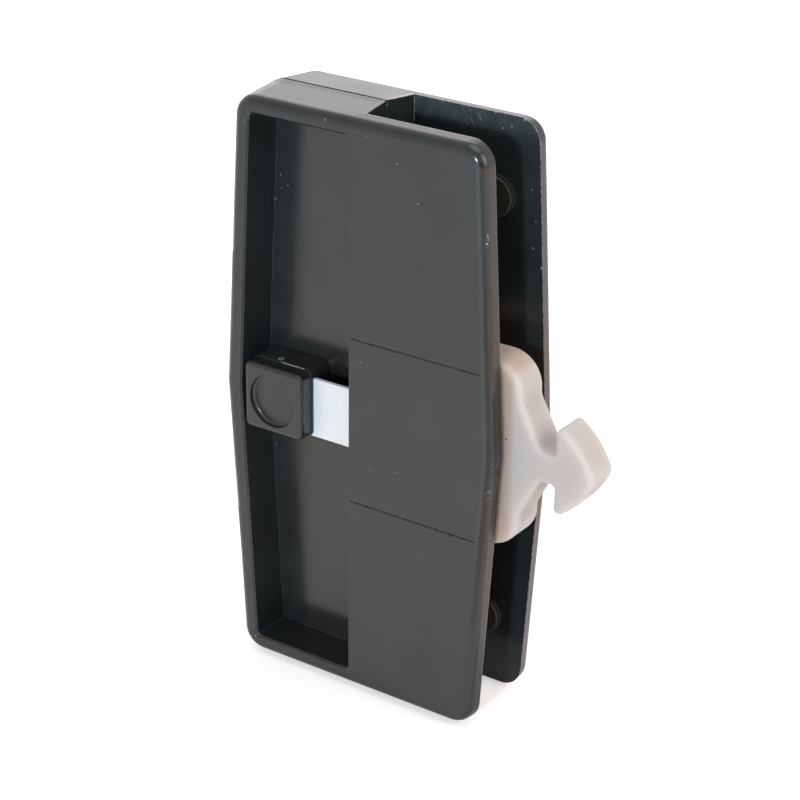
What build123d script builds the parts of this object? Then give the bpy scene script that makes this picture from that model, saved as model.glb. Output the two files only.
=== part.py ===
from build123d import *
from math import tan, radians
import os

os.makedirs("parts", exist_ok=True)

# Latch and pull for a sliding screen door, in millimetres.
# X runs from the finger recess towards the door jamb, Y from the front to the back, Z up.
# The origin lies on the end wall of the channel that the door stile slides into,
# halfway between the two plates and at mid height.

# Casing
gap = 14.2                # between the plates, for the door stile
plate = 3.4               # each plate that grips the stile
front_half = 10.25        # front face to the parting plane
left_reach = 29.35        # outline of the front face at mid height
right_reach = 28.75
half_height = 55.3
side_lean = 3.4           # how much nearer the sides stand at the top and bottom
corner_round = 4.1
edge_round = 1.9
draft = 5.0               # degrees, outer walls and channel
parting_groove_width = 0.4
parting_groove_depth = 0.8

# Finger recesses
rim_left = 3.65
rim_end = 3.0
rim_lean = 0.7            # how much narrower the side rim is at the top and bottom
end_wall = 1.3            # between the recess and the channel
recess_depth = 8.0
rear_recess_depth = 7.0
recess_draft = 3.0        # degrees
recess_corner = 0.6
recess_edge_chamfer = 0.4
panel_edge_chamfer = 0.15
floor_wall = 1.6

# Front panel lines and the bosses that enter the stile
panel_z = -0.6
line_spacing = 32.0
line_start = 0.4          # from the panel's left edge
line_end = 2.6            # from the outline's right edge
line_width = 0.5
line_depth = 0.25
boss_spacing = 82.55
boss_x = 17.2
boss_diameter = 7.6
boss_height = 1.2
boss_chamfer = 0.1

# Knob
slide_z = -1.55           # height of the knob's middle
knob_size = 13.1          # at the front face
knob_corner = 1.3
knob_edge = 0.9
knob_gap = 0.75           # from the cap or the base to the recess wall at each stop
base_step = 0.15          # how far the knob's base stands out past the cap
base_draft = 6.0          # degrees
base_inset = 0.4          # of the base's left side, from the cap's
cap_thickness = 3.1
dimple_diameter = 10.4
dimple_depth = 1.1
dimple_round = 0.5
running_gap = 0.2
stem_width = 6.0
stem_height = 8.9

# Strip and bolt
strip_drop = 0.7          # how far the strip's middle lies below the knob's
strip_height = 11.5
strip_thickness = 0.7
strip_play = 0.15         # in front of and behind the strip
strip_side_play = 0.2     # above and below the strip
strip_inset = 2.0         # from the knob's left side to the strip's end
bolt_rise = 0.65          # how far the bolt's middle lies above the knob's
bolt_start = 12.0
bolt_reach = 32.0
bolt_half_height = 17.7
bolt_thickness = 7.2
bolt_corner = 6.0
bolt_start_round = 2.0
shoulder_height = 10.5
shoulder_round = 3.0
neck_start = 36.1
neck_half_height = 2.8
neck_round = 1.8
barb_x = 38.9
barb_half_height = 8.8
barb_round = 1.0
barb_root_round = 0.8
tip_x = 46.6
tip_bulge = 1.1
tip_round = 2.0
bolt_edge = 0.8
stake_diameter = 3.0
stake_play = 0.05
stake_inset = 3.5         # from the ends of the bolt block and of the strip

# Rails that hold the strip against the front plate
rail_start = 3.0
rail_length = 6.0
rail_wall = 1.2
rail_lip = 1.0
rail_lip_thickness = 1.0

# Retainer and screws
retainer_width = 12.0
retainer_height = 14.0
retainer_thickness = 1.0
retainer_play = 0.1
knob_screw_diameter = 2.5
knob_screw_head = 5.0
knob_screw_head_height = 1.1
knob_screw_head_round = 0.5
drive_length = 2.6
drive_width = 0.6
drive_depth = 0.6
screw_play = 0.05
screw_bite = 1.6          # how far the knob screw enters the cap
casing_screw_inset = 17.0 # from the casing's ends
casing_screw_x = -12.5
casing_screw_diameter = 2.9
casing_screw_head = 5.6
casing_screw_head_height = 1.8
casing_screw_head_round = 0.8
casing_drive_length = 3.2
casing_drive_depth = 1.0
casing_screw_cover = 0.6  # plastic left in front of the pilot hole
casing_screw_tip_gap = 0.2
screw_boss = 7.0
peg_diameter = 2.0
peg_length = 2.5
peg_play = 0.1
peg_inset = 9.0           # from the outline's left corner and from the end wall

# Depths worked out from the sizes above
front_y = -gap / 2 - plate
rear_y = gap / 2 + plate
parting_y = front_y + front_half
rear_half = rear_y - parting_y
slope = tan(radians(draft))
front_growth = front_half * slope
rear_growth = rear_half * slope
floor_y = front_y + recess_depth
floor_back_y = floor_y + floor_wall
rear_floor_y = rear_y - rear_recess_depth
rear_floor_front_y = rear_floor_y - floor_wall
wall_shift = (parting_y + gap / 2) * slope
recess_inset = recess_depth * tan(radians(recess_draft))

# Places of the moving pieces at rest, with the knob against its left stop
recess_left = -left_reach + rim_left
panel_edge = -end_wall
knob_x = recess_left + knob_gap + knob_size / 2
cap_back_y = front_y + cap_thickness
strip_front_y = -gap / 2 + strip_play
strip_back_y = strip_front_y + strip_thickness
base_back_y = floor_y - running_gap
base_flare = base_step + (base_back_y - cap_back_y) * tan(radians(base_draft))
base_right = knob_x + knob_size / 2 + base_flare
travel = (panel_edge - recess_inset - knob_gap) - base_right
retainer_front_y = floor_back_y + retainer_play
retainer_back_y = retainer_front_y + retainer_thickness
strip_z = slide_z - strip_drop
bolt_z = slide_z + bolt_rise
strip_left = knob_x - knob_size / 2 + strip_inset
strip_right = bolt_reach - bolt_corner
bolt_back_y = strip_back_y + bolt_thickness
screw_tip_y = cap_back_y - screw_bite
pilot_end_y = floor_y + casing_screw_cover
casing_screw_tip_y = pilot_end_y + casing_screw_tip_gap
casing_screw_z = half_height - casing_screw_inset


def at_depth(y, height=0):
    # Plane that faces the front, with X to the right and Z up from the given height
    return Plane((0, y, height), x_dir=(1, 0, 0), z_dir=(0, -1, 0))


def outline_points(growth):
    top = half_height + growth
    left = -left_reach - growth
    right = right_reach + growth
    return [
        (left, 0),
        (left + side_lean, top),
        (right - side_lean, top),
        (right, 0),
        (right - side_lean, -top),
        (left + side_lean, -top),
    ]


def recess_points(inset, side=panel_edge):
    # Outline of a finger recess up to the side next to the channel, moved in by inset
    top = half_height - rim_end - inset
    left = recess_left + inset
    lean = side_lean - rim_lean
    right = side - inset
    return [(left, 0), (left + lean, top), (right, top), (right, -top), (left + lean, -top)]


def stake_places():
    return [
        (bolt_start + stake_inset, 0),
        (strip_right - stake_inset, 0),
    ]


def peg_places():
    # In the solid end walls of the block, above and below the recess
    z = half_height - rim_end / 2 + front_growth / 2
    left = -left_reach + side_lean + peg_inset
    right = -peg_inset
    return [(left, z), (right, z), (left, -z), (right, -z)]


def casing_screw_places():
    return [(casing_screw_x, casing_screw_z), (casing_screw_x, -casing_screw_z)]


slot_left = knob_x - stem_width / 2 - knob_gap / 2
slot_right = knob_x + stem_width / 2 + travel + knob_gap / 2
slot_height = stem_height + 2 * running_gap

with BuildPart() as front_casing:
    with BuildSketch(at_depth(parting_y)) as front_outline:
        Polygon(*outline_points(front_growth), align=None)
        ends = front_outline.vertices().filter_by(lambda v: abs(v.Y) > half_height / 2)
        fillet(ends, corner_round + front_growth)
    extrude(amount=front_half, taper=draft)
    front_edges = front_casing.faces().sort_by(Axis.Y)[0].edges()
    fillet(front_edges, edge_round)
    # Fine groove round the block where the halves meet
    with BuildSketch(at_depth(parting_y)) as parting_groove:
        Polygon(*outline_points(2 * front_growth), align=None)
        groove_floor = front_growth - parting_groove_depth
        groove_corner = corner_round + groove_floor
        with BuildSketch(Plane.XY, mode=Mode.SUBTRACT) as groove_inside:
            Polygon(*outline_points(groove_floor), align=None)
            ends = groove_inside.vertices().filter_by(lambda v: abs(v.Y) > half_height / 2)
            fillet(ends, groove_corner)
    extrude(amount=parting_groove_width, mode=Mode.SUBTRACT)
    # Channel for the stile, with its end wall on the mould's draft
    with BuildSketch(Plane.XY) as channel_section:
        Polygon(
            (0, -gap / 2),
            (2 * right_reach, -gap / 2),
            (2 * right_reach, parting_y),
            (-wall_shift, parting_y),
            align=None,
        )
    extrude(amount=2 * half_height, both=True, mode=Mode.SUBTRACT)
    # Finger recess: the floor outline at the bottom, opening out to the face
    with BuildSketch(at_depth(floor_y)) as floor_outline:
        Polygon(*recess_points(recess_inset), align=None)
        ends = floor_outline.vertices().filter_by(lambda v: abs(v.Y) > half_height / 2)
        fillet(ends, recess_corner)
    extrude(amount=recess_depth, taper=-recess_draft, mode=Mode.SUBTRACT)
    # Chamfer round its opening, finer along the panel
    with BuildSketch(at_depth(front_y + recess_edge_chamfer)) as opening_outline:
        opening_inset = recess_edge_chamfer * tan(radians(recess_draft))
        finer = recess_edge_chamfer - panel_edge_chamfer
        Polygon(*recess_points(opening_inset, panel_edge - finer), align=None)
        ends = opening_outline.vertices().filter_by(lambda v: abs(v.Y) > half_height / 2)
        fillet(ends, recess_corner)
    extrude(amount=recess_edge_chamfer, taper=-45, mode=Mode.SUBTRACT)
    # Space behind the floor, with bosses left standing for the two casing screws
    with BuildSketch(at_depth(parting_y)) as cavity_outline:
        Polygon(*recess_points(recess_inset), align=None)
        with Locations(*casing_screw_places()):
            Circle(screw_boss / 2, mode=Mode.SUBTRACT)
    extrude(amount=parting_y - floor_back_y, mode=Mode.SUBTRACT)
    # Slot that the knob's stem slides in
    with BuildSketch(at_depth(floor_back_y)) as stem_slot:
        with Locations(((slot_left + slot_right) / 2, slide_z)):
            Rectangle(slot_right - slot_left, slot_height)
    extrude(amount=floor_wall, mode=Mode.SUBTRACT)
    # Window through the end wall for the strip
    with BuildSketch(at_depth(strip_back_y + strip_play)) as strip_window:
        with Locations((0, strip_z)):
            Rectangle(4 * end_wall, strip_height + 2 * strip_side_play)
    extrude(amount=strip_thickness + 2 * strip_play, mode=Mode.SUBTRACT)
    # Two rails that wrap the strip's edges
    rail_offset = strip_height / 2 + strip_side_play + rail_wall / 2
    with BuildSketch(at_depth(-gap / 2)) as rail_feet:
        with Locations((rail_start + rail_length / 2, strip_z)):
            with Locations((0, rail_offset), (0, -rail_offset)):
                Rectangle(rail_length, rail_wall)
    extrude(amount=-(strip_thickness + 2 * strip_play + rail_lip_thickness))
    lip_offset = rail_offset + rail_wall / 2 - (rail_wall + rail_lip) / 2
    with BuildSketch(at_depth(strip_back_y + strip_play)) as rail_lips:
        with Locations((rail_start + rail_length / 2, strip_z)):
            with Locations((0, lip_offset), (0, -lip_offset)):
                Rectangle(rail_length, rail_wall + rail_lip)
    extrude(amount=-rail_lip_thickness)
    # Fine lines pressed into the panel
    with BuildSketch(at_depth(front_y)) as panel_lines:
        line_left = panel_edge + line_start
        line_right = right_reach - line_end
        with Locations(((line_left + line_right) / 2, panel_z)):
            with GridLocations(0, line_spacing, 1, 2):
                SlotOverall(line_right - line_left, line_width)
    extrude(amount=-line_depth, mode=Mode.SUBTRACT)
    # Pilot holes for the casing screws and pegs that line up the halves
    with BuildSketch(at_depth(parting_y)) as pilot_holes:
        with Locations(*casing_screw_places()):
            Circle(casing_screw_diameter / 2)
    extrude(amount=parting_y - pilot_end_y, mode=Mode.SUBTRACT)
    with BuildSketch(at_depth(parting_y)) as pegs:
        with Locations(*peg_places()):
            Circle(peg_diameter / 2)
    extrude(amount=-peg_length)
front_casing.part.label = "front_casing"
export_step(front_casing.part, "parts/front_casing.step")

with BuildPart() as rear_casing:
    with BuildSketch(at_depth(rear_y)) as rear_outline:
        Polygon(*outline_points(front_growth - rear_growth), align=None)
        ends = rear_outline.vertices().filter_by(lambda v: abs(v.Y) > half_height / 2)
        fillet(ends, corner_round + front_growth - rear_growth)
    extrude(amount=rear_half, taper=-draft)
    rear_edges = rear_casing.faces().sort_by(Axis.Y)[-1].edges()
    fillet(rear_edges, edge_round)
    with BuildSketch(Plane.XY) as rear_channel_section:
        Polygon(
            (-wall_shift, parting_y),
            (2 * right_reach, parting_y),
            (2 * right_reach, gap / 2),
            (-wall_shift + (gap / 2 - parting_y) * slope, gap / 2),
            align=None,
        )
    extrude(amount=2 * half_height, both=True, mode=Mode.SUBTRACT)
    with BuildSketch(at_depth(rear_y)) as rear_recess_outline:
        Polygon(*recess_points(0), align=None)
    extrude(amount=rear_recess_depth, taper=recess_draft, mode=Mode.SUBTRACT)
    with BuildSketch(at_depth(rear_floor_front_y)) as rear_cavity_outline:
        Polygon(*recess_points(recess_inset), align=None)
        with Locations(*casing_screw_places()):
            Circle(screw_boss / 2, mode=Mode.SUBTRACT)
    extrude(amount=rear_floor_front_y - parting_y, mode=Mode.SUBTRACT)
    # Bosses that enter the two holes in the door stile
    with BuildSketch(at_depth(gap / 2)) as stile_bosses:
        with Locations((boss_x, panel_z)):
            with GridLocations(0, boss_spacing, 1, 2):
                Circle(boss_diameter / 2)
    extrude(amount=boss_height)
    boss_rims = rear_casing.edges().filter_by(GeomType.CIRCLE)
    boss_rims = boss_rims.filter_by(lambda e: abs(e.radius - boss_diameter / 2) < 0.01)
    chamfer(boss_rims.sort_by(Axis.Y)[0:2], boss_chamfer)
    # Clearance holes for the casing screws and sockets for the pegs
    with BuildSketch(at_depth(rear_floor_y)) as screw_holes:
        with Locations(*casing_screw_places()):
            Circle(casing_screw_diameter / 2 + screw_play)
    extrude(amount=rear_floor_y - parting_y, mode=Mode.SUBTRACT)
    with BuildSketch(at_depth(parting_y)) as peg_sockets:
        with Locations(*peg_places()):
            Circle(peg_diameter / 2 + peg_play)
    extrude(amount=-(peg_length + peg_play), mode=Mode.SUBTRACT)
rear_casing.part.label = "rear_casing"
export_step(rear_casing.part, "parts/rear_casing.step")

with BuildPart() as knob_cap:
    with BuildSketch(at_depth(cap_back_y, slide_z)) as cap_outline:
        with Locations((knob_x, 0)):
            RectangleRounded(knob_size, knob_size, knob_corner)
    extrude(amount=cap_thickness)
    fillet(knob_cap.faces().sort_by(Axis.Y)[0].edges(), knob_edge)
    with BuildSketch(at_depth(front_y, slide_z)) as dimple_outline:
        with Locations((knob_x, 0)):
            Circle(dimple_diameter / 2)
    extrude(amount=-dimple_depth, mode=Mode.SUBTRACT)
    dimple_floor = knob_cap.faces().filter_by(Axis.Y).filter_by(
        lambda f: abs(f.center().Y - front_y - dimple_depth) < 0.01)
    fillet(dimple_floor.edges(), dimple_round)
    with BuildSketch(at_depth(cap_back_y, slide_z)) as cap_pilot:
        with Locations((knob_x, 0)):
            Circle(knob_screw_diameter / 2)
    extrude(amount=screw_bite + screw_play, mode=Mode.SUBTRACT)
knob_cap.part.label = "knob_cap"
export_step(knob_cap.part, "parts/knob_cap.step")

with BuildPart() as knob_base:
    # Flares out towards the floor on all sides but the left
    with BuildSketch(at_depth(base_back_y, slide_z)) as base_outline:
        with Locations((knob_x, 0)):
            base_size = knob_size + 2 * base_flare
            RectangleRounded(base_size, base_size, knob_corner + base_flare)
    extrude(amount=base_back_y - cap_back_y, taper=base_draft)
    split(bisect_by=Plane.YZ.offset(knob_x - knob_size / 2 + base_inset), keep=Keep.TOP)
    # Stem through the floor slot, as far as the retainer
    with BuildSketch(at_depth(retainer_front_y, slide_z)) as stem_outline:
        with Locations((knob_x, 0)):
            Rectangle(stem_width, stem_height)
    extrude(amount=retainer_front_y - base_back_y)
    # Slot that takes the end of the strip, open towards the panel
    with BuildSketch(at_depth(strip_back_y, strip_z)) as strip_slot:
        with Locations(((strip_left + base_right) / 2, 0)):
            Rectangle(base_right - strip_left, strip_height)
    extrude(amount=strip_thickness, mode=Mode.SUBTRACT)
    with BuildSketch(at_depth(retainer_front_y, slide_z)) as base_bore:
        with Locations((knob_x, 0)):
            Circle(knob_screw_diameter / 2 + screw_play)
    extrude(amount=retainer_front_y - cap_back_y, mode=Mode.SUBTRACT)
knob_base.part.label = "knob_base"
export_step(knob_base.part, "parts/knob_base.step")

with BuildPart() as slide_strip:
    with BuildSketch(at_depth(strip_back_y, strip_z)) as strip_outline:
        with Locations(((strip_left + strip_right) / 2, 0)):
            Rectangle(strip_right - strip_left, strip_height)
        with Locations((knob_x, strip_drop)):
            Circle(knob_screw_diameter / 2 + screw_play, mode=Mode.SUBTRACT)
        with Locations(*stake_places()):
            Circle(stake_diameter / 2 + stake_play, mode=Mode.SUBTRACT)
    extrude(amount=strip_thickness)
slide_strip.part.label = "slide_strip"
export_step(slide_strip.part, "parts/slide_strip.step")


def near(x, height):
    # Picks the outline's corners at x, above and below its middle
    return lambda v: abs(v.X - x) < 0.01 and abs(abs(v.Y) - height) < 0.01


with BuildPart() as latch_bolt:
    with BuildSketch(at_depth(bolt_back_y, bolt_z)) as bolt_outline:
        with BuildLine():
            Polyline(
                (bolt_start, 0),
                (bolt_start, bolt_half_height),
                (bolt_reach, bolt_half_height),
                (bolt_reach, shoulder_height),
                (neck_start, neck_half_height),
                (barb_x, neck_half_height),
                (barb_x, barb_half_height),
            )
            SagittaArc((barb_x, barb_half_height), (tip_x, 0), tip_bulge)
            mirror(about=Plane.XZ)
        make_face()
        for x, height, radius in (
            (bolt_start, bolt_half_height, bolt_start_round),
            (bolt_reach, bolt_half_height, bolt_corner),
            (bolt_reach, shoulder_height, shoulder_round),
            (neck_start, neck_half_height, neck_round),
            (barb_x, neck_half_height, barb_root_round),
            (barb_x, barb_half_height, barb_round),
            (tip_x, 0, tip_round),
        ):
            fillet(bolt_outline.vertices().filter_by(near(x, height)), radius)
    extrude(amount=bolt_thickness)
    front_face = latch_bolt.faces().sort_by(Axis.Y)[0]
    back_face = latch_bolt.faces().sort_by(Axis.Y)[-1]
    fillet(front_face.edges() + back_face.edges(), bolt_edge)
    # Stakes that pass through the strip and end flush with it
    with BuildSketch(at_depth(strip_back_y, strip_z)) as stakes:
        with Locations(*stake_places()):
            Circle(stake_diameter / 2)
    extrude(amount=strip_thickness)
latch_bolt.part.label = "latch_bolt"
export_step(latch_bolt.part, "parts/latch_bolt.step")

# Plate behind the floor that keeps the knob in its slot
with BuildPart() as knob_retainer:
    with BuildSketch(at_depth(retainer_back_y, slide_z)) as retainer_outline:
        with Locations((knob_x, 0)):
            RectangleRounded(retainer_width, retainer_height, knob_corner)
            Circle(knob_screw_diameter / 2 + screw_play, mode=Mode.SUBTRACT)
    extrude(amount=retainer_thickness)
knob_retainer.part.label = "knob_retainer"
export_step(knob_retainer.part, "parts/knob_retainer.step")

# Screw that clamps the cap, strip, base and retainer together
with BuildPart() as knob_screw:
    with BuildSketch(at_depth(retainer_back_y, slide_z)) as knob_screw_shank:
        with Locations((knob_x, 0)):
            Circle(knob_screw_diameter / 2)
    extrude(amount=retainer_back_y - screw_tip_y)
    with BuildSketch(at_depth(retainer_back_y, slide_z)) as knob_screw_top:
        with Locations((knob_x, 0)):
            Circle(knob_screw_head / 2)
    extrude(amount=-knob_screw_head_height)
    head_face = knob_screw.faces().sort_by(Axis.Y)[-1]
    fillet(head_face.edges(), knob_screw_head_round)
    with BuildSketch(at_depth(retainer_back_y + knob_screw_head_height, slide_z)) as knob_screw_drive:
        with Locations((knob_x, 0)):
            Rectangle(drive_length, drive_width)
            Rectangle(drive_width, drive_length)
    extrude(amount=drive_depth, mode=Mode.SUBTRACT)
knob_screw.part.label = "knob_screw"
export_step(knob_screw.part, "parts/knob_screw.step")

# Screws from the rear recess that pull the two halves together
for name, z in (("casing_screw_upper", casing_screw_z), ("casing_screw_lower", -casing_screw_z)):
    with BuildPart() as casing_screw:
        with BuildSketch(at_depth(rear_floor_y)) as casing_screw_shank:
            with Locations((casing_screw_x, z)):
                Circle(casing_screw_diameter / 2)
        extrude(amount=rear_floor_y - casing_screw_tip_y)
        with BuildSketch(at_depth(rear_floor_y)) as casing_screw_top:
            with Locations((casing_screw_x, z)):
                Circle(casing_screw_head / 2)
        extrude(amount=-casing_screw_head_height)
        head_face = casing_screw.faces().sort_by(Axis.Y)[-1]
        fillet(head_face.edges(), casing_screw_head_round)
        with BuildSketch(at_depth(rear_floor_y + casing_screw_head_height)) as casing_drive:
            with Locations((casing_screw_x, z)):
                Rectangle(casing_drive_length, drive_width)
                Rectangle(drive_width, casing_drive_length)
        extrude(amount=casing_drive_depth, mode=Mode.SUBTRACT)
    casing_screw.part.label = name
    export_step(casing_screw.part, "parts/" + name + ".step")
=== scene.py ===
from math import cos, pi, radians, sin

import bpy
from mathutils import Matrix, Vector


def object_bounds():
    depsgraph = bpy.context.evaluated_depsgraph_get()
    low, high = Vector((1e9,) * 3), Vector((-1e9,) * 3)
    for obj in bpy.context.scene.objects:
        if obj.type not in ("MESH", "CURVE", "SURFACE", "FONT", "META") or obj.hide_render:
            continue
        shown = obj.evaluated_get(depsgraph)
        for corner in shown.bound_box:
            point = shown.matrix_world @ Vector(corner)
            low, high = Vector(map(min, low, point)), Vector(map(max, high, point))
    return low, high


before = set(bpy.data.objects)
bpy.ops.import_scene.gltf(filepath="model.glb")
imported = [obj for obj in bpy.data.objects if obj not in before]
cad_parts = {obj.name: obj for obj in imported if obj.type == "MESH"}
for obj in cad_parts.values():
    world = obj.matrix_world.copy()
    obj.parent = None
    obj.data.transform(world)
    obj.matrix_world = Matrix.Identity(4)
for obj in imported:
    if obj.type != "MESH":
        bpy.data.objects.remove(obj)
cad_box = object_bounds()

MM = 0.001
WHITE = (1.0, 1.0, 1.0)
BLACK = (0.0, 0.0, 0.0)
NOISE_SPAN = (0.3, 0.7)         # most values of a noise lie between these

# Camera, from a perspective fit of the photograph
IMAGE_SIZE = 800
FOCAL_PIXELS = 2256.97
SENSOR_WIDTH = 36.0
CAMERA_AZIMUTH = 34.484
CAMERA_ELEVATION = 24.62
CAMERA_ROLL = 0.683
CAMERA_DISTANCE = 409.643 * MM
CAMERA_TARGET = Vector((1.6, 1.5, -0.3)) * MM
CAMERA_CLIP = (0.01, 20.0)

# Lamps: azimuth and elevation as seen from the object, distance and width in metres, how
# bright a white surface turned to the lamp would be, and colour. An azimuth of 0 is the
# front (-Y) and one of 90 the right (+X).
LAMPS = {
    "key": (15.0, 15.5, 1.1, 0.08, 0.45, (0.80, 0.92, 1.0)),
    "side": (97.0, 28.0, 1.0, 0.7, 0.36, (1.0, 0.90, 0.84)),
    "back": (214.5, 32.0, 1.0, 0.9, 0.27, (1.0, 0.91, 0.90)),
    "top": (90.0, 80.0, 1.0, 0.8, 0.22, (1.0, 1.0, 1.0)),
}

# The room. A side of it is an azimuth and the reach to each side of that, in degrees.
WORLD_LEVEL = 0.40              # what lights the object, where the camera sees 1
CEILING_TINT = (0.80, 0.69, 0.62)
CEILING_START = (0.36, 0.55)    # z of a direction over which the ceiling starts
CEILING_END = (0.93, 0.80)      # and over which it ends
CEILING_FRONT = (0.02, -0.3)    # y of a direction over which it starts towards the front
DARK_SIDE = (50.0, 26.0)
DARK_SIDE_LEVEL = 0.12
DARK_SIDE_TOP = 0.3             # z of a direction where the dark side ends
WINDOW_SIDE = (12.0, 22.0)      # a bluish bright patch on the floor
WINDOW_TINT = (1.5, 1.75, 1.9)
WARM_SIDE = (115.0, 55.0)       # a brownish part of the floor
WARM_SIDE_TINT = (1.1, 0.68, 0.50)
SIDES_START = (0.06, 0.12)      # distances over which the sides start on the floor, metres

# Floor: lengths in metres, distances from the frame's origin
FLOOR_DROP = 0.05 * MM
FLOOR_SIZE = 3.0
FLOOR_PALE = (0.93, 0.89, 0.87)
FLOOR_GLOW = 0.5                # to the camera, near the object
FLOOR_GLOW_RISE = (0.3, 0.9)    # distances over which that glow rises to 1
FLOOR_GLOSS = 0.58              # in reflections
GLOSS_LEFT = (1.0, 0.96, 0.94)
GLOSS_RIGHT = (1.0, 0.86, 0.80)
GLOSS_TURN = (-0.1, 0.15)       # x over which the left tint turns into the right one
SHADE_TINT = (0.12, 0.12, 0.12)
SHADE_DEPTH = (0.016, 0.009)    # y, to the front and back, over which the shade starts
SHADE_LENGTH = (0.085, 0.075)   # distances over which it starts

# Black plastic
BLACK_PLASTIC = (0.0175, 0.0185, 0.0187)
# Lighter, bluer copy of the black plastic: painted light inside the channel, and a painted bluish
# shade in the recess by its left wall
PAINTED_TEAL_BLACK = (0.018, 0.023, 0.0245)
# Dust and painted light on the rear plate's inner face
INNER_DUST_AND_LIGHT = (0.085, 0.105, 0.11)
BOSS_BLACK = (0.042, 0.037, 0.032)
# Light grey of wear and dust, and of painted glints
WEAR_AND_GLINT_GREY = (0.30, 0.34, 0.35)
BLACK_SHADES = (0.85, 1.15)
COOL_GLOSS = (0.88, 0.96, 1.0)
WARM_GLOSS = (1.0, 0.96, 0.93)
PLASTIC_IOR = 1.54
FACE_ROUGHNESS = (0.305, 0.345)
DRAWN_ROUGHNESS = (-0.005, 0.015)
DRAWN_SPAN = (0.35, 0.65)
DRAWN_STRETCH = (0.25, 1.6, 1.0)
# How much smoother than the outer faces some parts are
INSIDE_SMOOTHER = 0.15
RIM_SMOOTHER = 0.14
CASING_RECESS_SMOOTHER = 0.13
KNOB_SMOOTHER = -0.06           # the knob is rougher
WAVE_HEIGHT = 0.10 * MM
GRAIN_HEIGHT = 0.002 * MM

# Where the parts of the black plastic lie, in millimetres, and how far their looks go
INSIDE_LEFT = -1.0              # the channel between the plates is to the right of this
INSIDE_Y = (-7.4, 7.3)
REAR_FACE_Y = 6.9
RECESS_Y = (-10.2, -2.0)
RECESS_FLOOR_Y = -2.7
RECESS_WALL_SHADE = (-17.2, -19.5)
# Painted shade on the recess floor's gloss along the wall
FLOOR_WALL_SHADE_X = (-15.5, -18.5)
FLOOR_WALL_SHADE_LEVEL = 0.3
RIM_Y = -8.5
RIM_TURN = (0.995, 0.93)        # y of the normal over which the rounding starts
BOSS_LEFT = 12.0
BOSS_FACE_Y = (5.6, 6.4)
# Dust and painted light on the rear plate's inner face, lighter towards the top
TOP_DUST_AND_LIGHT_Z = (50.0, 56.0)
TOP_DUST_AND_LIGHT_LEVEL = 0.62
THIN_DUST_AND_LIGHT_Z = (15.0, 48.0)
THIN_DUST_AND_LIGHT_LEVEL = 0.12
DUST_AND_LIGHT_PATCHES = (0.75, 1.25)
GLOSS_TONE_Z = (44.0, 8.0)      # from the cool to the warm gloss
TONE_CLOUDS = (-14.0, 14.0)
TONE_GRAIN = (-9.0, 9.0)

# Marks and painted glints on the black plastic, in millimetres. A pair of radii, or of half widths
# for a line, says where a mark starts and where it is full.
EDGE_REACH = 0.22
EDGE_TURN = (0.985, 0.90)       # cosine between the normals over which an edge starts
CHANNEL_EDGE_LEFT = -1.7
CHANNEL_EDGE_Y = (-7.6, 7.6)
FRONT_EDGE_Y = -9.9
FRONT_EDGE_LEVEL = 0.25
BOSS_CENTRES = ((17.2, 6.5, 40.7), (17.2, 6.5, -41.9))
BOSS_CLEAR = 4.6
GRIT = (
    (2.3, -10.5, 52.8), (8.7, -10.5, 49.4), (13.1, -10.5, 43.2), (13.7, -10.2, 53.6),
    (-6.2, -10.3, 54.2), (1.3, -10.5, 11.3), (9.4, -10.5, -7.9), (-17.6, -10.4, 52.3),
    (-22.0, -2.5, 39.0), (-20.5, -2.5, 37.3), (-21.8, -2.5, 36.5), (-23.3, -2.5, 34.2),
    (-23.7, -2.5, -14.7), (18.3, 7.1, 52.9), (20.0, 7.1, 53.6), (24.5, 7.1, 43.1),
    (25.5, 7.1, 37.6), (25.1, 7.1, 32.6), (26.27, -9.44, 40.2), (26.31, -9.40, 39.8),
    (26.36, -9.36, 39.4),
)
GRIT_RADII = (0.19, 0.07)
# Chips and painted glints on the edges
EDGE_CHIPS_AND_GLINTS = (
    (5.9, 7.1, 55.6), (16.8, 7.1, 55.5), (22.6, 7.1, 55.2), (25.2, 7.1, 54.3),
    (25.9, 7.1, 51.5), (26.24, -9.65, 38.8), (27.0, 7.1, 29.4), (-23.3, -10.3, -52.6),
)
EDGE_CHIP_AND_GLINT_RADII = (0.32, 0.10)
EDGE_SCUFFS = ((28.9, -8.0, 0.6), (28.9, -8.5, -1.2), (28.7, -7.8, -5.0), (28.4, -9.3, -7.2))
EDGE_SCUFF_RADII = (1.6, 0.8)
EDGE_SCUFF_LEVEL = 0.6
DUSTY_CORNER = (-24.3, -10.0, 50.5)
DUSTY_CORNER_RADII = (4.5, 1.5)
DUSTY_CORNER_Y = -9.7
INNER_SCRATCHES = (11.4, 7.1, 54.3)
INNER_SCRATCH_REACH = 3.8
INNER_SCRATCH_LEAN = 30.0       # degrees
INNER_SCRATCH_LEVEL = 0.35
# Painted highlights on the knob's top, about a small ring mark and along the seam
KNOB_RING = (-19.4, -6.4, 5.0)
KNOB_RING_RADIUS = 0.5
KNOB_RING_LINE = (0.18, 0.06)
KNOB_SEAM_X = (-18.6, -13.4)
KNOB_SEAM_Y = -7.35
KNOB_SEAM_Z = (4.8, 5.2)
KNOB_SEAM_LINE = (0.13, 0.04)
FINE_SPECK_LEVEL = 0.5

# White strip, bluish next to the knob
STRIP_WHITE = (0.88, 0.89, 0.91)
STRIP_SHADED = (0.77, 0.92, 1.0)
STRIP_SHADE_X = (-8.5, -12.8)
STRIP_GRAIN = 0.006 * MM

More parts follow.
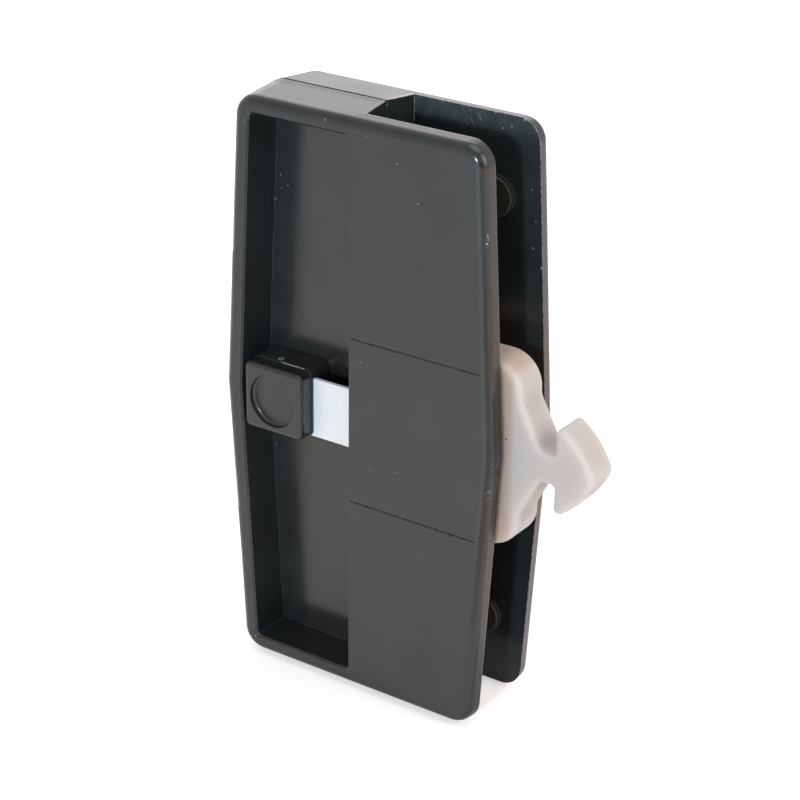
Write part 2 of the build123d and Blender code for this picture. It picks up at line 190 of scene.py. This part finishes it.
# Ivory bolt, with a painted brownish shade on the part between the plates
IVORY = (0.585, 0.55, 0.535)
IVORY_PAINTED_SHADE = (0.54, 0.42, 0.34)
IVORY_SPECK = (0.10, 0.07, 0.05)
IVORY_SHADE = 0.96
IVORY_PAINTED_SHADE_X = (31.0, 29.6)
IVORY_PAINTED_SHADE_LEVEL = 0.85
BOLT_SPECKS = ((29.2, -6.25, 2.6), (32.0, -4.3, -13.1))
BOLT_SPECK_RADII = (0.26, 0.12)
BOLT_SOFT_EDGE = 1.4 * MM
BOLT_GRAIN = 0.006 * MM

# Zinc plated steel
STEEL = (0.56, 0.56, 0.57)
STEEL_SHADE = 0.85
STEEL_ROUGHNESS = (0.26, 0.38)

# Sockets of a Mix node that mixes colours
MIX_INPUTS = (0, 6, 7)
MIX_RESULT = 2


def direction(azimuth, elevation):
    # Unit vector from the object to something seen at these angles, in degrees
    a, e = radians(azimuth), radians(elevation)
    return Vector((sin(a) * cos(e), -cos(a) * cos(e), sin(e)))


def add_camera():
    back = direction(CAMERA_AZIMUTH, CAMERA_ELEVATION)
    level = Vector((cos(radians(CAMERA_AZIMUTH)), sin(radians(CAMERA_AZIMUTH)), 0))
    rise = back.cross(level)
    roll = radians(CAMERA_ROLL)
    right = level * cos(roll) + rise * sin(roll)
    up = rise * cos(roll) - level * sin(roll)
    data = bpy.data.cameras.new("camera")
    data.sensor_width = SENSOR_WIDTH
    data.lens = FOCAL_PIXELS / IMAGE_SIZE * SENSOR_WIDTH
    data.clip_start, data.clip_end = CAMERA_CLIP
    camera = bpy.data.objects.new("camera", data)
    turn = Matrix((right, up, back)).transposed().to_4x4()
    camera.matrix_world = Matrix.Translation(CAMERA_TARGET + back * CAMERA_DISTANCE) @ turn
    bpy.context.collection.objects.link(camera)
    bpy.context.scene.camera = camera


def add_lamp(name, azimuth, elevation, distance, width, level, colour):
    data = bpy.data.lights.new(name, "AREA")
    data.shape = "DISK"
    data.size = width
    data.energy = level * (pi * distance) ** 2
    data.color = colour
    lamp = bpy.data.objects.new(name, data)
    away = direction(azimuth, elevation)
    lamp.location = away * distance
    lamp.rotation_mode = "QUATERNION"
    lamp.rotation_quaternion = away.to_track_quat("Z", "Y")
    bpy.context.collection.objects.link(lamp)


class Graph:
    # A short way to write the nodes of a material or of the world
    def __init__(self, tree):
        self.tree = tree
        self.tree.nodes.clear()

    def node(self, kind, values=None, **settings):
        made = self.tree.nodes.new(kind)
        for name, value in settings.items():
            setattr(made, name, value)
        for key, value in (values or {}).items():
            if isinstance(value, bpy.types.NodeSocket):
                self.tree.links.new(value, made.inputs[key])
            else:
                made.inputs[key].default_value = value
        return made

    def math(self, operation, a, b=0.0):
        return self.node("ShaderNodeMath", {0: a, 1: b}, operation=operation).outputs[0]

    def plus(self, a, b):
        return self.math("ADD", a, b)

    def minus(self, a, b):
        return self.math("SUBTRACT", a, b)

    def times(self, a, b):
        return self.math("MULTIPLY", a, b)

    def above(self, value, limit):
        return self.math("GREATER_THAN", value, limit)

    def below(self, value, limit):
        return self.math("LESS_THAN", value, limit)

    def between(self, value, low, high):
        return self.times(self.above(value, low), self.below(value, high))

    def ramp(self, value, low, high, start=0.0, end=1.0):
        # Smooth step from start to end while the value goes from low to high
        values = {"Value": value, "From Min": low, "From Max": high, "To Min": start, "To Max": end}
        made = self.node("ShaderNodeMapRange", values, interpolation_type="SMOOTHSTEP")
        return made.outputs["Result"]

    def any_of(self, masks):
        whole = masks[0]
        for mask in masks[1:]:
            whole = self.math("MAXIMUM", whole, mask)
        return whole

    def all_of(self, masks):
        whole = masks[0]
        for mask in masks[1:]:
            whole = self.times(whole, mask)
        return whole

    def vector(self, operation, *vectors):
        made = self.node("ShaderNodeVectorMath", dict(enumerate(vectors)), operation=operation)
        return made.outputs["Vector"]

    def measure(self, operation, *vectors):
        made = self.node("ShaderNodeVectorMath", dict(enumerate(vectors)), operation=operation)
        return made.outputs["Value"]

    def parts(self, vector):
        return tuple(self.node("ShaderNodeSeparateXYZ", {0: vector}).outputs)

    def mix(self, factor, a, b):
        made = self.node("ShaderNodeMix", data_type="RGBA")
        for index, value in zip(MIX_INPUTS, (factor, a, b)):
            socket = made.inputs[index]
            if isinstance(value, bpy.types.NodeSocket):
                self.tree.links.new(value, socket)
            elif isinstance(value, tuple):
                socket.default_value = (*value, 1)
            else:
                socket.default_value = value
        return made.outputs[MIX_RESULT]

    def noise(self, place, scale, detail=2.0, roughness=0.5):
        values = {"Vector": place, "Scale": scale, "Detail": detail, "Roughness": roughness}
        return self.node("ShaderNodeTexNoise", values).outputs["Fac"]

    def bump(self, height, distance, normal=None):
        values = {"Height": height, "Distance": distance}
        if normal is not None:
            values["Normal"] = normal
        return self.node("ShaderNodeBump", values).outputs["Normal"]


def new_material(name):
    material = bpy.data.materials.new(name)
    material.use_nodes = True
    return material, Graph(material.node_tree)


def finish_material(graph, shader):
    output = graph.node("ShaderNodeOutputMaterial")
    graph.tree.links.new(shader.outputs[0], output.inputs["Surface"])


def millimetres(graph):
    # The surface's place in millimetres, in the row frame at rest
    place = graph.node("ShaderNodeTexCoord").outputs["Object"]
    return graph.vector("MULTIPLY", place, (1 / MM, 1 / MM, 1 / MM))


def nearest(graph, place, points):
    # Distance to the nearest of some points
    least = None
    for point in points:
        way = graph.measure("DISTANCE", place, point)
        least = way if least is None else graph.math("MINIMUM", least, way)
    return least


def spots(graph, place, points, radii):
    # Soft round spots about some points
    return graph.ramp(nearest(graph, place, points), *radii)


def specks(graph, place, scale, radius, share):
    # Small round spots in a share of the cells, as a mask. The radius is a share of a cell.
    cells = graph.node("ShaderNodeTexVoronoi", {"Vector": place, "Scale": scale})
    chosen = graph.node("ShaderNodeSeparateColor", {0: cells.outputs["Color"]}).outputs[0]
    spot = graph.ramp(cells.outputs["Distance"], radius, radius / 2)
    return graph.times(graph.below(chosen, share), spot)


def streaks(graph, place, centre, reach, lean):
    # Short parallel scratches about a point on a face that looks to the front
    values = {"Vector": graph.vector("SUBTRACT", place, centre), "Angle": radians(lean)}
    turned = graph.node("ShaderNodeVectorRotate", values, rotation_type="Y_AXIS").outputs[0]
    across_and_along = (3.2, 0.3, 0.35)
    lines = graph.noise(graph.vector("MULTIPLY", turned, across_and_along), scale=1.0)
    full_within = reach * 0.6
    within = spots(graph, place, (centre,), (reach, full_within))
    return graph.times(graph.ramp(lines, low=0.60, high=0.66), within)


def edge_mask(graph):
    # Softened normal, and a mask that is high where the surface turns a sharp corner
    soft = graph.node("ShaderNodeBevel", {"Radius": EDGE_REACH * MM}, samples=6).outputs[0]
    true = graph.node("ShaderNodeNewGeometry").outputs["True Normal"]
    return soft, graph.ramp(graph.measure("DOT_PRODUCT", soft, true), *EDGE_TURN)


def worn_and_glinting_edges(graph, place, edges):
    # Wear and painted highlights on the edges, along the channel and, less so, at the front, away
    # from the bosses
    x, y = graph.parts(place)[:2]
    channel = graph.times(graph.between(y, *CHANNEL_EDGE_Y), graph.above(x, CHANNEL_EDGE_LEFT))
    front = graph.times(graph.below(y, FRONT_EDGE_Y), FRONT_EDGE_LEVEL)
    broken_up = graph.noise(place, scale=1.1, detail=4, roughness=0.7)
    broken_up = graph.ramp(broken_up, low=0.40, high=0.58)
    off_boss = graph.above(nearest(graph, place, BOSS_CENTRES), BOSS_CLEAR)
    return graph.all_of([edges, broken_up, off_boss, graph.any_of([channel, front])])


def knob_glints(graph, place):
    # Painted highlights on the knob's top: a small ring where a mark catches the light, and a thin
    # broken line along the seam
    x, y, z = graph.parts(place)
    off_ring = graph.minus(nearest(graph, place, (KNOB_RING,)), KNOB_RING_RADIUS)
    ring_glint = graph.ramp(graph.math("ABSOLUTE", off_ring), *KNOB_RING_LINE)
    off_seam = graph.minus(y, KNOB_SEAM_Y)
    seam_glint = graph.all_of([
        graph.ramp(graph.math("ABSOLUTE", off_seam), *KNOB_SEAM_LINE),
        graph.between(z, *KNOB_SEAM_Z),
        graph.between(x, *KNOB_SEAM_X),
        graph.ramp(graph.noise(place, scale=1.6), low=0.40, high=0.55),
    ])
    return graph.any_of([ring_glint, seam_glint])


def marks_and_glints(graph, place, edges):
    # What has rubbed, scratched or settled on the black plastic, and painted glints on its edges
    # and the knob's top, as a light mask
    half = (0.5, 0.5, 0.5)
    wobble = graph.node("ShaderNodeTexNoise", {"Vector": place, "Scale": 2.5}).outputs["Color"]
    wobble = graph.vector("MULTIPLY", graph.vector("SUBTRACT", wobble, half), half)
    loose = graph.vector("ADD", place, wobble)
    scuffs = graph.noise(place, scale=2.6, detail=3, roughness=0.7)
    scuffs = graph.ramp(scuffs, low=0.56, high=0.64)
    scuffs = graph.times(spots(graph, place, EDGE_SCUFFS, EDGE_SCUFF_RADII), scuffs)
    dusty = graph.all_of([
        spots(graph, place, (DUSTY_CORNER,), DUSTY_CORNER_RADII),
        graph.below(graph.parts(place)[1], DUSTY_CORNER_Y),
        specks(graph, place, scale=1.9, radius=0.22, share=0.35),
    ])
    scratched = streaks(graph, place, INNER_SCRATCHES, INNER_SCRATCH_REACH, INNER_SCRATCH_LEAN)
    fine_specks = specks(graph, place, scale=0.85, radius=0.05, share=0.06)
    return graph.any_of([
        worn_and_glinting_edges(graph, place, edges),
        spots(graph, loose, GRIT, GRIT_RADII),
        spots(graph, loose, EDGE_CHIPS_AND_GLINTS, EDGE_CHIP_AND_GLINT_RADII),
        graph.times(scuffs, EDGE_SCUFF_LEVEL),
        dusty,
        knob_glints(graph, place),
        graph.times(scratched, INNER_SCRATCH_LEVEL),
        specks(graph, place, scale=0.30, radius=0.035, share=0.30),
        graph.times(fine_specks, FINE_SPECK_LEVEL),
    ])


def plastic_roughness(graph, place, cloud, inside, recess, recess_smoother):
    y = graph.parts(place)[1]
    drawn = graph.noise(graph.vector("MULTIPLY", place, DRAWN_STRETCH), scale=0.35)
    drawn = graph.ramp(drawn, *DRAWN_SPAN, *DRAWN_ROUGHNESS)
    roughness = graph.plus(graph.ramp(cloud, *NOISE_SPAN, *FACE_ROUGHNESS), drawn)
    # Rounded front edges are rubbed smoother than the faces
    normal_y = graph.parts(graph.node("ShaderNodeNewGeometry").outputs["Normal"])[1]
    turned = graph.ramp(graph.math("ABSOLUTE", normal_y), *RIM_TURN)
    rounded = graph.times(graph.below(y, RIM_Y), turned)
    smoother_parts = (
        (inside, INSIDE_SMOOTHER),
        (recess, recess_smoother),
        (rounded, RIM_SMOOTHER),
    )
    for mask, smoother in smoother_parts:
        roughness = graph.minus(roughness, graph.times(mask, smoother))
    return roughness


def plastic_colour(graph, place, cloud, inside, recess, edges):
    x, y, z = graph.parts(place)
    # Painted light and shade: the channel and the recess by its left wall take the lighter, bluer
    # black
    painted_wall_tint = graph.times(recess, graph.ramp(x, *RECESS_WALL_SHADE))
    colour = graph.mix(graph.any_of([inside, painted_wall_tint]), BLACK_PLASTIC, PAINTED_TEAL_BLACK)
    shade = graph.ramp(cloud, *NOISE_SPAN, *BLACK_SHADES)
    values = {0: colour, "Scale": shade}
    colour = graph.node("ShaderNodeVectorMath", values, operation="SCALE").outputs[0]
    # Dust and painted light on the rear plate's inner face, lighter towards the top
    dust_and_light = graph.plus(
        graph.ramp(z, *TOP_DUST_AND_LIGHT_Z, end=TOP_DUST_AND_LIGHT_LEVEL),
        graph.ramp(z, *THIN_DUST_AND_LIGHT_Z, end=THIN_DUST_AND_LIGHT_LEVEL),
    )
    patches = graph.noise(place, scale=0.5, detail=4, roughness=0.6)
    dust_and_light = graph.times(dust_and_light, graph.ramp(patches, *NOISE_SPAN, *DUST_AND_LIGHT_PATCHES))
    rear_face = graph.times(inside, graph.above(y, REAR_FACE_Y))
    colour = graph.mix(graph.times(rear_face, dust_and_light), colour, INNER_DUST_AND_LIGHT)
    boss_face = graph.times(graph.between(y, *BOSS_FACE_Y), graph.above(x, BOSS_LEFT))
    colour = graph.mix(boss_face, colour, BOSS_BLACK)
    # Wear, dust and painted glints, in a light grey
    return graph.mix(marks_and_glints(graph, place, edges), colour, WEAR_AND_GLINT_GREY)


def plastic_gloss(graph, place, cloud, grain, recess):
    # Slightly bluish towards the top, warmer lower down
    x, y, z = graph.parts(place)
    tone = graph.plus(z, graph.ramp(cloud, *NOISE_SPAN, *TONE_CLOUDS))
    tone = graph.plus(tone, graph.ramp(grain, *NOISE_SPAN, *TONE_GRAIN))
    gloss = graph.mix(graph.ramp(tone, *GLOSS_TONE_Z), COOL_GLOSS, WARM_GLOSS)
    # The recess floor's gloss is darkened along the wall, a painted shade
    floor = graph.times(recess, graph.above(y, RECESS_FLOOR_Y))
    painted_wall_shade = graph.times(floor, graph.ramp(x, *FLOOR_WALL_SHADE_X, end=FLOOR_WALL_SHADE_LEVEL))
    return graph.mix(painted_wall_shade, gloss, BLACK)


def moulded_plastic(name, recess_smoother):
    # Black plastic, in the recess with a roughness that is lower by recess_smoother
    material, graph = new_material(name)
    place = millimetres(graph)
    x, y = graph.parts(place)[:2]
    inside = graph.times(graph.between(y, *INSIDE_Y), graph.above(x, INSIDE_LEFT))
    recess = graph.times(graph.between(y, *RECESS_Y), graph.below(x, INSIDE_LEFT))
    cloud = graph.noise(place, scale=0.09)
    grain = graph.noise(place, scale=2.4, roughness=0.6)
    soft, edges = edge_mask(graph)
    wave = graph.bump(cloud, WAVE_HEIGHT, soft)
    values = {
        "Base Color": plastic_colour(graph, place, cloud, inside, recess, edges),
        "Roughness": plastic_roughness(graph, place, cloud, inside, recess, recess_smoother),
        "IOR": PLASTIC_IOR,
        "Specular Tint": plastic_gloss(graph, place, cloud, grain, recess),
        "Normal": graph.bump(grain, GRAIN_HEIGHT, wave),
    }
    finish_material(graph, graph.node("ShaderNodeBsdfPrincipled", values))
    return material


def white_strip(name):
    material, graph = new_material(name)
    place = millimetres(graph)
    shaded = graph.ramp(graph.parts(place)[0], *STRIP_SHADE_X)
    values = {
        "Base Color": graph.mix(shaded, STRIP_WHITE, STRIP_SHADED),
        "Roughness": 0.4,
        "Normal": graph.bump(graph.noise(place, scale=3.0), STRIP_GRAIN),
    }
    finish_material(graph, graph.node("ShaderNodeBsdfPrincipled", values))
    return material


def ivory_nylon(name):
    material, graph = new_material(name)
    place = millimetres(graph)
    cloud = graph.noise(place, scale=0.12, detail=3)
    colour = graph.mix(cloud, tuple(c * IVORY_SHADE for c in IVORY), IVORY)
    # Painted brownish shade, next to the plates, on the part between them
    painted_shade = graph.times(graph.ramp(graph.parts(place)[0], *IVORY_PAINTED_SHADE_X), IVORY_PAINTED_SHADE_LEVEL)
    colour = graph.mix(painted_shade, colour, IVORY_PAINTED_SHADE)
    colour = graph.mix(spots(graph, place, BOLT_SPECKS, BOLT_SPECK_RADII), colour, IVORY_SPECK)
    soft = graph.node("ShaderNodeBevel", {"Radius": BOLT_SOFT_EDGE}, samples=8).outputs[0]
    values = {
        "Base Color": colour,
        "Roughness": 0.6,
        "Specular IOR Level": 0.3,
        "Normal": graph.bump(graph.noise(place, scale=2.2, detail=3), BOLT_GRAIN, soft),
        "Subsurface Weight": 1.0,
        "Subsurface Radius": (1.0, 0.75, 0.6),
        "Subsurface Scale": 8.0 * MM,
    }
    finish_material(graph, graph.node("ShaderNodeBsdfPrincipled", values))
    return material


def plated_steel(name):
    material, graph = new_material(name)
    cloud = graph.noise(millimetres(graph), scale=0.8, detail=3)
    values = {
        "Base Color": graph.mix(cloud, tuple(c * STEEL_SHADE for c in STEEL), STEEL),
        "Roughness": graph.ramp(cloud, *NOISE_SPAN, *STEEL_ROUGHNESS),
        "Metallic": 1.0,
    }
    finish_material(graph, graph.node("ShaderNodeBsdfPrincipled", values))
    return material


def dress(material, *nodes):
    for node in nodes:
        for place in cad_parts[node].material_slots:
            place.material = material


def facing(graph, place, azimuth, reach):
    # High in one direction from the object, fading out over this many degrees to each side,
    # and nowhere close to the object
    flat = graph.vector("NORMALIZE", graph.vector("MULTIPLY", place, (1, 1, 0)))
    match = graph.measure("DOT_PRODUCT", flat, tuple(direction(azimuth, 0.0)))
    aligned = graph.ramp(match, cos(radians(reach)), cos(radians(reach / 2)))
    return graph.times(aligned, graph.ramp(graph.measure("LENGTH", place), *SIDES_START))


def floor_reflection(graph, place, away):
    # Tint of the floor in reflections
    x, y = graph.parts(place)[:2]
    tint = graph.mix(graph.ramp(x, *GLOSS_TURN), GLOSS_LEFT, GLOSS_RIGHT)
    tint = graph.mix(facing(graph, place, *WINDOW_SIDE), tint, WINDOW_TINT)
    tint = graph.mix(facing(graph, place, *WARM_SIDE), tint, WARM_SIDE_TINT)
    dim = graph.times(facing(graph, place, *DARK_SIDE), 1 - DARK_SIDE_LEVEL)
    tint = graph.mix(dim, tint, BLACK)
    # The floor right under the plates lies in their shade
    under = graph.ramp(graph.math("ABSOLUTE", y), *SHADE_DEPTH)
    under = graph.times(under, graph.ramp(away, *SHADE_LENGTH))
    return graph.mix(under, tint, SHADE_TINT)


def pale_floor(name):
    # Glows for the camera and in reflections, and keeps the object's shadow
    material, graph = new_material(name)
    path = graph.node("ShaderNodeLightPath").outputs
    place = graph.node("ShaderNodeTexCoord").outputs["Object"]
    away = graph.measure("LENGTH", place)
    to_camera = graph.ramp(away, *FLOOR_GLOW_RISE, start=FLOOR_GLOW, end=1.0)
    seen = graph.times(path["Is Camera Ray"], to_camera)
    seen = graph.any_of([seen, graph.times(path["Is Glossy Ray"], FLOOR_GLOSS)])
    tint = graph.mix(path["Is Glossy Ray"], WHITE, floor_reflection(graph, place, away))
    glow = graph.node("ShaderNodeEmission", {"Color": tint, "Strength": seen})
    matte = graph.node("ShaderNodeBsdfDiffuse", {"Color": (*FLOOR_PALE, 1)})
    both = graph.node("ShaderNodeAddShader", {0: glow.outputs[0], 1: matte.outputs[0]})
    finish_material(graph, both)
    return material


def add_floor():
    low = cad_box[0].z - FLOOR_DROP
    half = FLOOR_SIZE / 2
    corners = [(-half, -half, low), (half, -half, low), (half, half, low), (-half, half, low)]
    mesh = bpy.data.meshes.new("floor")
    mesh.from_pydata(corners, [], [(0, 1, 2, 3)])
    mesh.materials.append(pale_floor("floor_pale"))
    floor = bpy.data.objects.new("floor", mesh)
    bpy.context.collection.objects.link(floor)


def set_world():
    # White to the camera. Reflections see white too, apart from a brownish ceiling towards
    # the front and a dark side, and the object gets a low even light.
    world = bpy.data.worlds.new("studio")
    bpy.context.scene.world = world
    world.use_nodes = True
    graph = Graph(world.node_tree)
    path = graph.node("ShaderNodeLightPath").outputs
    towards = graph.node("ShaderNodeTexCoord").outputs["Generated"]
    y, z = graph.parts(towards)[1:]
    ceiling = graph.all_of([
        graph.ramp(z, *CEILING_START),
        graph.ramp(z, *CEILING_END),
        graph.ramp(y, *CEILING_FRONT),
        path["Is Glossy Ray"],
    ])
    tint = graph.mix(ceiling, WHITE, CEILING_TINT)
    dark = graph.all_of([
        facing(graph, towards, *DARK_SIDE),
        graph.below(z, DARK_SIDE_TOP),
        path["Is Glossy Ray"],
    ])
    rays = ("Is Camera Ray", "Is Glossy Ray", "Is Transmission Ray")
    seen = graph.any_of([path[ray] for ray in rays])
    level = graph.ramp(seen, 0.0, 1.0, start=WORLD_LEVEL, end=1.0)
    dimming = graph.ramp(dark, 0.0, 1.0, start=1.0, end=DARK_SIDE_LEVEL)
    level = graph.times(level, dimming)
    background = graph.node("ShaderNodeBackground", {"Color": tint, "Strength": level})
    output = graph.node("ShaderNodeOutputWorld")
    graph.tree.links.new(background.outputs[0], output.inputs["Surface"])


casing_plastic = moulded_plastic("casing_plastic", CASING_RECESS_SMOOTHER)
dress(casing_plastic, "front_casing", "rear_casing")
knob_plastic = moulded_plastic("knob_plastic", KNOB_SMOOTHER)
dress(knob_plastic, "knob_cap", "knob_base")
dress(white_strip("white_strip"), "slide_strip")
dress(ivory_nylon("ivory_nylon"), "latch_bolt")
steel = plated_steel("plated_steel")
dress(steel, "knob_retainer", "knob_screw", "casing_screw_upper", "casing_screw_lower")

add_camera()
for lamp_name, settings in LAMPS.items():
    add_lamp(lamp_name, *settings)
add_floor()
set_world()
bpy.context.scene.view_settings.view_transform = "Standard"
